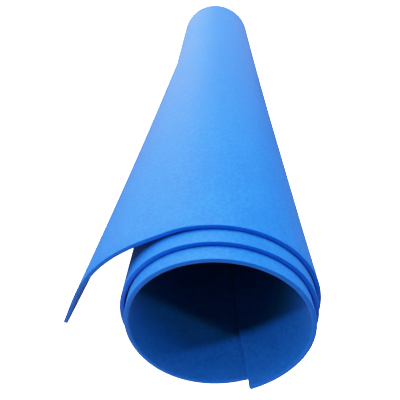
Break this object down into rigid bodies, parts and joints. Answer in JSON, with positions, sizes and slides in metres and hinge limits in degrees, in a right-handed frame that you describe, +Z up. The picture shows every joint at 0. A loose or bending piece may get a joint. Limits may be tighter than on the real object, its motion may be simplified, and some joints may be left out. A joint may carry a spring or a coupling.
{
  "type": "rolled craft foam sheet",
  "caption": "Thin blue craft foam sheet, loosely rolled up and lying on its side, with its turns stepped out at one end and its outer flap sprung open.",
  "frame": {"origin": "middle of the bounding box at its underside, on the level floor the roll lies on", "axes": "+Y along the roll from its near end, where the inner turns stand out, to its far end; +X across the roll away from the sprung flap; +Z up"},
  "size_m": [0.1, 0.5188, 0.0858],
  "materials": {
    "foam": "matt closed-cell foam skin with cleanly cut edges"
  },
  "bodies": {
    "root": {"foam_sheet": "foam"}
  },
  "joints": []
}
